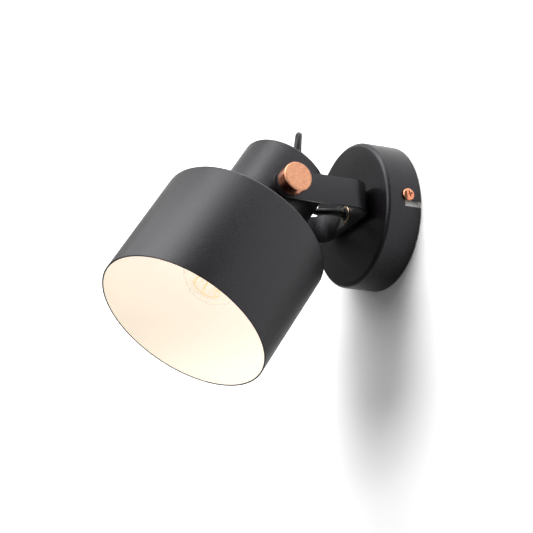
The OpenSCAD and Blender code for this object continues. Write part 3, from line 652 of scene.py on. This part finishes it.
def make_holder():
    """Lampholder and the ribbed ring that holds the shade."""
    body = turned("lampholder", [
        (NIPPLE_R + GAP, HOLDER_BACK), (HOLDER_R, HOLDER_BACK, 2), (HOLDER_R, HOLDER_FRONT, 0.6),
        (HOLDER_BORE_R, HOLDER_FRONT, 0.6), (HOLDER_BORE_R, HOLDER_BACK + 4, 0.5),
        (NIPPLE_R + GAP, HOLDER_BACK + 4)], HEAD, 96)
    fit(smooth(paint(body, FINISH["black_holder"])), "head", "black_holder", "lampholder")
    low = NECK + SHADE_WALL
    ring = turned("shade_ring", [
        (HOLDER_R + GAP, low, 0.2), (RING_R, low, 0.3), (RING_R, low + 2, 0.3), (RING_R - 2, low + 2, 0.4),
        (RING_R - 2, low + RING_H, 0.8), (HOLDER_R + GAP, low + RING_H, 0.3)], HEAD, 96)
    fit(smooth(paint(ring, FINISH["white_holder"])), "head", "white_holder", "shade_ring")
    rib = block("shade_ring_ribs", (-0.2, -0.6, low + 1.9), (0.9, 0.6, low + RING_H - 0.8),
                Matrix.Identity(4))
    finished(ease(rib, 0.3))
    round_copies(smooth(rib), 30, RING_R - 2, FINISH["white_holder"], HEAD)
    fit(rib, "head", "white_holder", "shade_ring")


def make_knobs():
    """Copper knobs, their threaded studs and the washers on the arms."""
    for s, name in ((1, "right"), (-1, "left")):
        end = KNOB_X + KNOB_LEN
        knob = turned("knob_" + name, [
            (STUD_R, KNOB_X), (KNOB_R, KNOB_X, 0.5), (KNOB_R, end - 0.6, 0.15), (KNOB_R - 0.6, end, 0.15),
            (KNOB_R - 0.95, end, 0.05), (KNOB_R - 1.1, end - 0.12, 0.05), (KNOB_R - 1.25, end, 0.05),
            (0, end), (0, KNOB_X + KNOB_LEN * 0.6), (STUD_R, KNOB_X + KNOB_LEN * 0.6)], PIVOT[s], TURNS)

        def side(face, s=s):
            spot = into(PIVOT[s], face.center)
            return spot.z < KNOB_X + KNOB_LEN - 0.75
        paint(knob, FINISH["copper"], FINISH["copper_side"], side)
        fit(smooth(knob, 25), "knob_" + name, "copper", "knob_" + name)
        stud = turned("stud_" + name, [(0, 26.5), (STUD_R, 26.5, 0.5), (STUD_R, 44.88, 0.4), (0, 44.88)],
                      PIVOT[s], 48)
        fit(smooth(paint(stud, FINISH["steel"])), "knob_" + name, "steel", "stud_" + name)
        washer = turned("knob_washer_" + name, [
            (3.3, 36), (9.5, 36, 0.5), (9.5, 38.7, 0.5), (3.3, 38.7)], PIVOT[s], 96)
        fit(smooth(paint(washer, FINISH["rubber"])), "yoke", "black_rubber", "knob_washers")


def make_swivel():
    """The hollow nipple with its ring, and the grommet that guides the lead."""
    front = YOKE_BACK + YOKE_T + 0.1
    back = 18.7
    nipple = turned("front_nipple", [
        (NIPPLE_BORE_R, back), (NIPPLE_R, back, 0.2), (NIPPLE_R, front), (NIPPLE_RING_R, front, 0.2),
        (NIPPLE_RING_R, front + 0.7, 0.3), (NIPPLE_BORE_R, front + 0.7, 0.25)], OUT, 96)
    fit(smooth(paint(nipple, FINISH["ring_metal"])), "wall", "copper", "front_nipple")
    face = front + 0.7
    grommet = turned("lead_grommet", [
        (LEAD_R + 0.1, front - 8, 0.1), (NIPPLE_BORE_R, front - 8, 0.1), (NIPPLE_BORE_R, face),
        (4.6, face, 0.1), (4.6, face + 0.4, 0.2), (LEAD_R + 0.1, face + 0.4, 0.2)], OUT, 64)
    fit(smooth(paint(grommet, FINISH["rubber"])), "wall", "black_rubber", "lead_grommet")


def make_screws():
    """Pan heads with a cross recess and a shank into the bracket's ears: one on each side."""
    lying = Matrix.Translation((0.1, 0, SCREW_REACH)) @ Matrix.Rotation(math.pi / 2, 4, "Y")
    screw = turned("canopy_screws", [
        (0, -8.1), (1.9, -8.1, 0.3), (1.9, 0), (4.3, 0, 0.2), (4.3, 1.5, 1.3), (2.2, 2.6, 1.5), (0, 2.6)],
        lying, 64, 6)
    cut(screw, *[tapered_blade(lying @ Matrix.Rotation(math.radians(20 + a), 4, "Z")) for a in (0, 90)])
    round_copies(smooth(screw, 28), 2, CANOPY_R, FINISH["copper_screw"], OUT, -SCREW_TURN)
    fit(screw, "wall", "copper", "canopy_screws")


def tapered_blade(place):
    """One arm of the cross recess: a wedge that narrows as it goes in."""
    shape = bmesh.new()
    corners = []
    for z, long, wide in ((1.0, 0.9, 0.3), (3.2, 2.6, 0.55)):
        corners.append([shape.verts.new((x * long, y * wide, z))
                        for x, y in ((-1, -1), (1, -1), (1, 1), (-1, 1))])
    skin(shape, corners)
    return keep("blade", shape, place)


def head_point(a):
    """A point on the head's axis, a distance behind the tilt axis."""
    return (0, -REACH + a * math.cos(math.radians(TILT)), a * math.sin(math.radians(TILT)))


LEAD_POINTS = [
    (0, -13.4, 0), (0, -22, 0), (0, -30.5, 0), (-0.5, -35, 0.8), (-2.4, -39.8, 1.6), (-6, -43.6, 2.5),
    (-10.6, -45.8, 4.2), (-14.8, -46.6, 8), (-18, -47, 14.5), (-20.4, -47.4, 23), (-22, -48, 32),
    (-22.6, -49.2, 41.5), (-20.8, -50.8, 50.4), (-15.4, -53, 57.2), (-9, -55.8, 58.8), (-4.2, -59, 55.6),
    (-1.6, -61.4, 50), (-0.4, -63.2, 43.8), head_point(45), head_point(40), head_point(33), head_point(20),
    head_point(5)]


def smooth_path(points, steps):
    """A smooth curve through points."""
    path = []
    last = len(points) - 1
    for i in range(last):
        a, b, c, d = (Vector(points[min(max(i + k, 0), last)]) for k in (-1, 0, 1, 2))
        for k in range(steps):
            t = k / steps
            path.append((2 * b + (c - a) * t + (2 * a - 5 * b + 4 * c - d) * t ** 2
                         + (3 * b - a - 3 * c + d) * t ** 3) / 2)
    return path + [Vector(points[-1])]


def cord_mesh(name, points, radius, first=0, last=None, steps=6, sides=24):
    """A round cord through points, or the part of it between two of them."""
    path = smooth_path(points, steps)
    shape = bmesh.new()
    rings = []
    across = Vector((0.3, 0.2, 1))
    kept = range(first * steps, len(path) if last is None else last * steps + 1)
    for i, here in enumerate(path):
        ahead = (path[min(i + 1, len(path) - 1)] - path[max(i - 1, 0)]).normalized()
        across = (across - across.dot(ahead) * ahead).normalized()
        other = ahead.cross(across)
        if i not in kept:
            continue
        rings.append([shape.verts.new(here + radius * (math.cos(a) * across + math.sin(a) * other))
                      for a in (2 * math.pi * k / sides for k in range(sides))])
    skin(shape, rings)
    return keep(name, shape, Matrix.Identity(4))


def make_lead():
    """The lead up to the top of its loop stays with the yoke; the rest, from there to the cup, is made as a
    loose piece in its rest place.
    """
    top = 14  # the point at the top of the loop
    lead = cord_mesh("lamp_lead", LEAD_POINTS, LEAD_R, last=top)
    fit(smooth(paint(lead, FINISH["cord_sheath"])), "yoke", "black_rubber", "lamp_lead")
    tail = smooth(paint(cord_mesh("lamp_lead_bend", LEAD_POINTS, LEAD_R, top), FINISH["cord_sheath"]))
    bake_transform(tail)
    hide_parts("lamp_lead")


def make_bulb():
    """Globe lamp: one closed shell of glass, the filaments and the hoop that ties them."""
    inner = BULB_R - 1
    middle = BULB_TOP - BULB_R
    flare = math.radians(35)
    neck, neck_low, neck_high = 11.15, 29.3, 33.3
    outside = [(neck, neck_low), (neck, neck_high, 3)]
    steps = 32
    sweep = [-flare + (math.pi / 2 + flare) * k / steps for k in range(steps + 1)]
    outside += [(BULB_R * math.cos(a), middle + BULB_R * math.sin(a)) for a in sweep[:-1]] + [(0, BULB_TOP)]
    inside = [(0, BULB_TOP - 1)] + [(inner * math.cos(a), middle + inner * math.sin(a))
                                    for a in reversed(sweep[:-1])]
    inside += [(neck - 1, neck_high, 3), (neck - 1, neck_low)]
    glass = turned("bulb_glass", outside + inside, HEAD, 96)
    fit(smooth(paint(glass, FINISH["glass"])), "bulb", "clear_glass", "bulb_glass")
    outer_r, inner_r = 0.32, 0.28
    leg = [(0.2, 1.0, 42.8), (0.3, 1.1, 46), (2.3, 1.8, 60), (4.2, 2.3, 73), (4.75, 2.1, 76.6),
           (4.95, 1.2, 78.4)]
    loop = cord_mesh("filaments", leg + [(5, 0, 78.8)] + [(x, -y, z) for x, y, z in reversed(leg)],
                     outer_r, first=5, last=10)
    round_copies(smooth(loop), 6, 4, FINISH["filament"], HEAD, 15)
    fit(loop, "bulb", "filament", "filaments")
    leg = [(0.2, 0.8, 44), (1.1, 1.5, 60), (1.9, 1.9, 74), (2.2, 1.4, 78.2)]
    inner = cord_mesh("inner_filaments", leg + [(2.3, 0, 79.2)] + [(x, -y, z) for x, y, z in reversed(leg)],
                      inner_r, first=5, last=10)
    round_copies(smooth(inner), 4, 2.4, FINISH["filament"], HEAD, 20)
    fit(inner, "bulb", "filament", "filaments")
    hoop = turned("filament_hoop", [
        (9.1, 78.7, 0.1), (9.6, 78.7, 0.1), (9.6, 79.2, 0.1), (9.1, 79.2, 0.1)], HEAD, 96, 2)
    fit(smooth(paint(hoop, FINISH["filament"])), "bulb", "filament", "filaments")


NODE_FINISH = {
    "wall_bracket": "zinc", "earth_screw": "brass", "earth_lug": "tin", "terminal_block": "nylon",
    "pole_tubes": "brass", "clamp_screws": "steel", "block_screw": "zinc", "wire_live": "wire_brown",
    "wire_neutral": "wire_blue", "wire_earth": "wire_green", "wave_washer": "steel", "canopy_nut": "brass",
    "stop_pin": "steel", "swivel_disc": "black_nylon", "lead_collar": "nylon", "rear_nipple": "brass",
    "cup_nut": "brass", "holder_shell": "brass", "holder_contact": "ceramic", "holder_screws": "zinc",
    "head_wires": "wire_brown", "bulb_cap": "tin", "cap_insulator": "vitrite", "cap_contact": "tin",
    "bulb_stem": "glass"}


def dress_frame():
    """New finishes for the CAD nodes that stay."""
    for name, finish in NODE_FINISH.items():
        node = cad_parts[name]
        node.data.materials.clear()
        node.data.materials.append(FINISH[finish])


def light(name, azimuth, elevation, size, power, reach=1.3):
    """A round soft box aimed at the tilt axis: azimuth 0 is straight out from the wall, 90 to the right."""
    turn, lift = math.radians(azimuth), math.radians(elevation)
    away = Vector((math.sin(turn) * math.cos(lift), -math.cos(turn) * math.cos(lift), math.sin(lift)))
    data = bpy.data.lights.new(name, "AREA")
    data.shape, data.size, data.energy = "DISK", size, power
    made = bpy.data.objects.new(name, data)
    bpy.context.scene.collection.objects.link(made)
    made.location = Vector((0, -REACH * MM, 0)) + away * reach
    made.rotation_mode = "QUATERNION"
    made.rotation_quaternion = away.to_track_quat("Z", "Y")


def backdrop(name, finish, corners, hole, around=0.3, parts=64):
    """A flat wall from its four corners, with a round hole behind the canopy."""
    shape = bmesh.new()
    verts = [shape.verts.new(c) for c in corners]
    inner, outer = ([shape.verts.new((r * math.cos(a), corners[0][1], r * math.sin(a)))
                     for a in (2 * math.pi * k / parts for k in range(parts))] for r in (hole, around))
    for k in range(parts):
        n = (k + 1) % parts
        shape.faces.new((inner[k], outer[k], outer[n], inner[n]))
    quarter = parts // 4
    for k in range(4):
        part = [outer[(quarter * k + quarter // 2 + i) % parts] for i in range(quarter + 1)]
        shape.faces.new([verts[k], verts[(k + 1) % 4]] + list(reversed(part)))
    mesh = bpy.data.meshes.new(name)
    shape.to_mesh(mesh)
    shape.free()
    mesh.materials.append(finish)
    made = bpy.data.objects.new(name, mesh)
    bpy.context.scene.collection.objects.link(made)


def seen_as_background(sheet):
    """1 on the rays that show a backdrop: straight to the camera, in a reflection or through glass."""
    path = sheet.node("ShaderNodeLightPath", output="Is Camera Ray")
    rays = path.socket.node.outputs
    return path + Wire(sheet, rays["Is Glossy Ray"]) * 0.6 + Wire(sheet, rays["Is Transmission Ray"])


def stage_paint(name, colour, seen):
    """Diffuse paint with a lighter tone as background, clear from behind."""
    material = bpy.data.materials.new(name)
    material.use_nodes = True
    sheet = Sheet(material.node_tree)
    paint = sheet.blend(seen_as_background(sheet), colour, seen)
    behind = sheet.node("ShaderNodeNewGeometry", output="Backfacing")
    mix = sheet.node("ShaderNodeMixShader", {}, [
        behind, sheet.node("ShaderNodeBsdfDiffuse", {}, {"Color": paint}),
        sheet.node("ShaderNodeBsdfTransparent")])
    sheet.node("ShaderNodeOutputMaterial", {}, {"Surface": mix})
    return material


def make_stage():
    """A white wall, a world that is white only to the camera, and six round soft boxes."""
    wall_y, far, hole, ambient = 0.0006, 5.0, 0.046, 0.18
    wall = stage_paint("wall_paint", (0.75, 0.75, 0.75), (1.42, 1.42, 1.42))
    corners = [(far * x, wall_y, far * z) for x, z in ((1, 1), (-1, 1), (-1, -1), (1, -1))]
    backdrop("wall", wall, corners, hole)
    world = bpy.data.worlds.new("world")
    bpy.context.scene.world = world
    world.use_nodes = True
    sheet = Sheet(world.node_tree)
    straight = sheet.node("ShaderNodeLightPath", output="Is Camera Ray")
    sheet.node("ShaderNodeOutputWorld", {}, {"Surface": sheet.node(
        "ShaderNodeBackground", {}, {"Color": (1, 1, 1, 1), "Strength": straight * (1 - ambient) + ambient})})
    light("overhead", 75, 72, 0.9, 5)
    light("high", 10, 58, 1.0, 8)
    light("high_front", 14, 42, 1.3, 9)
    light("high_left", -50, 46, 0.9, 3.6)
    light("front", 8, 10, 0.8, 7)
    light("behind", 180, 18, 0.8, 4, 1.0)
    bpy.context.scene.view_settings.view_transform = "Standard"


camera()
make_lead()
make_canopy()
make_yoke()
make_head()
make_holder()
make_knobs()
make_swivel()
make_screws()
make_bulb()
dress_frame()
make_stage()
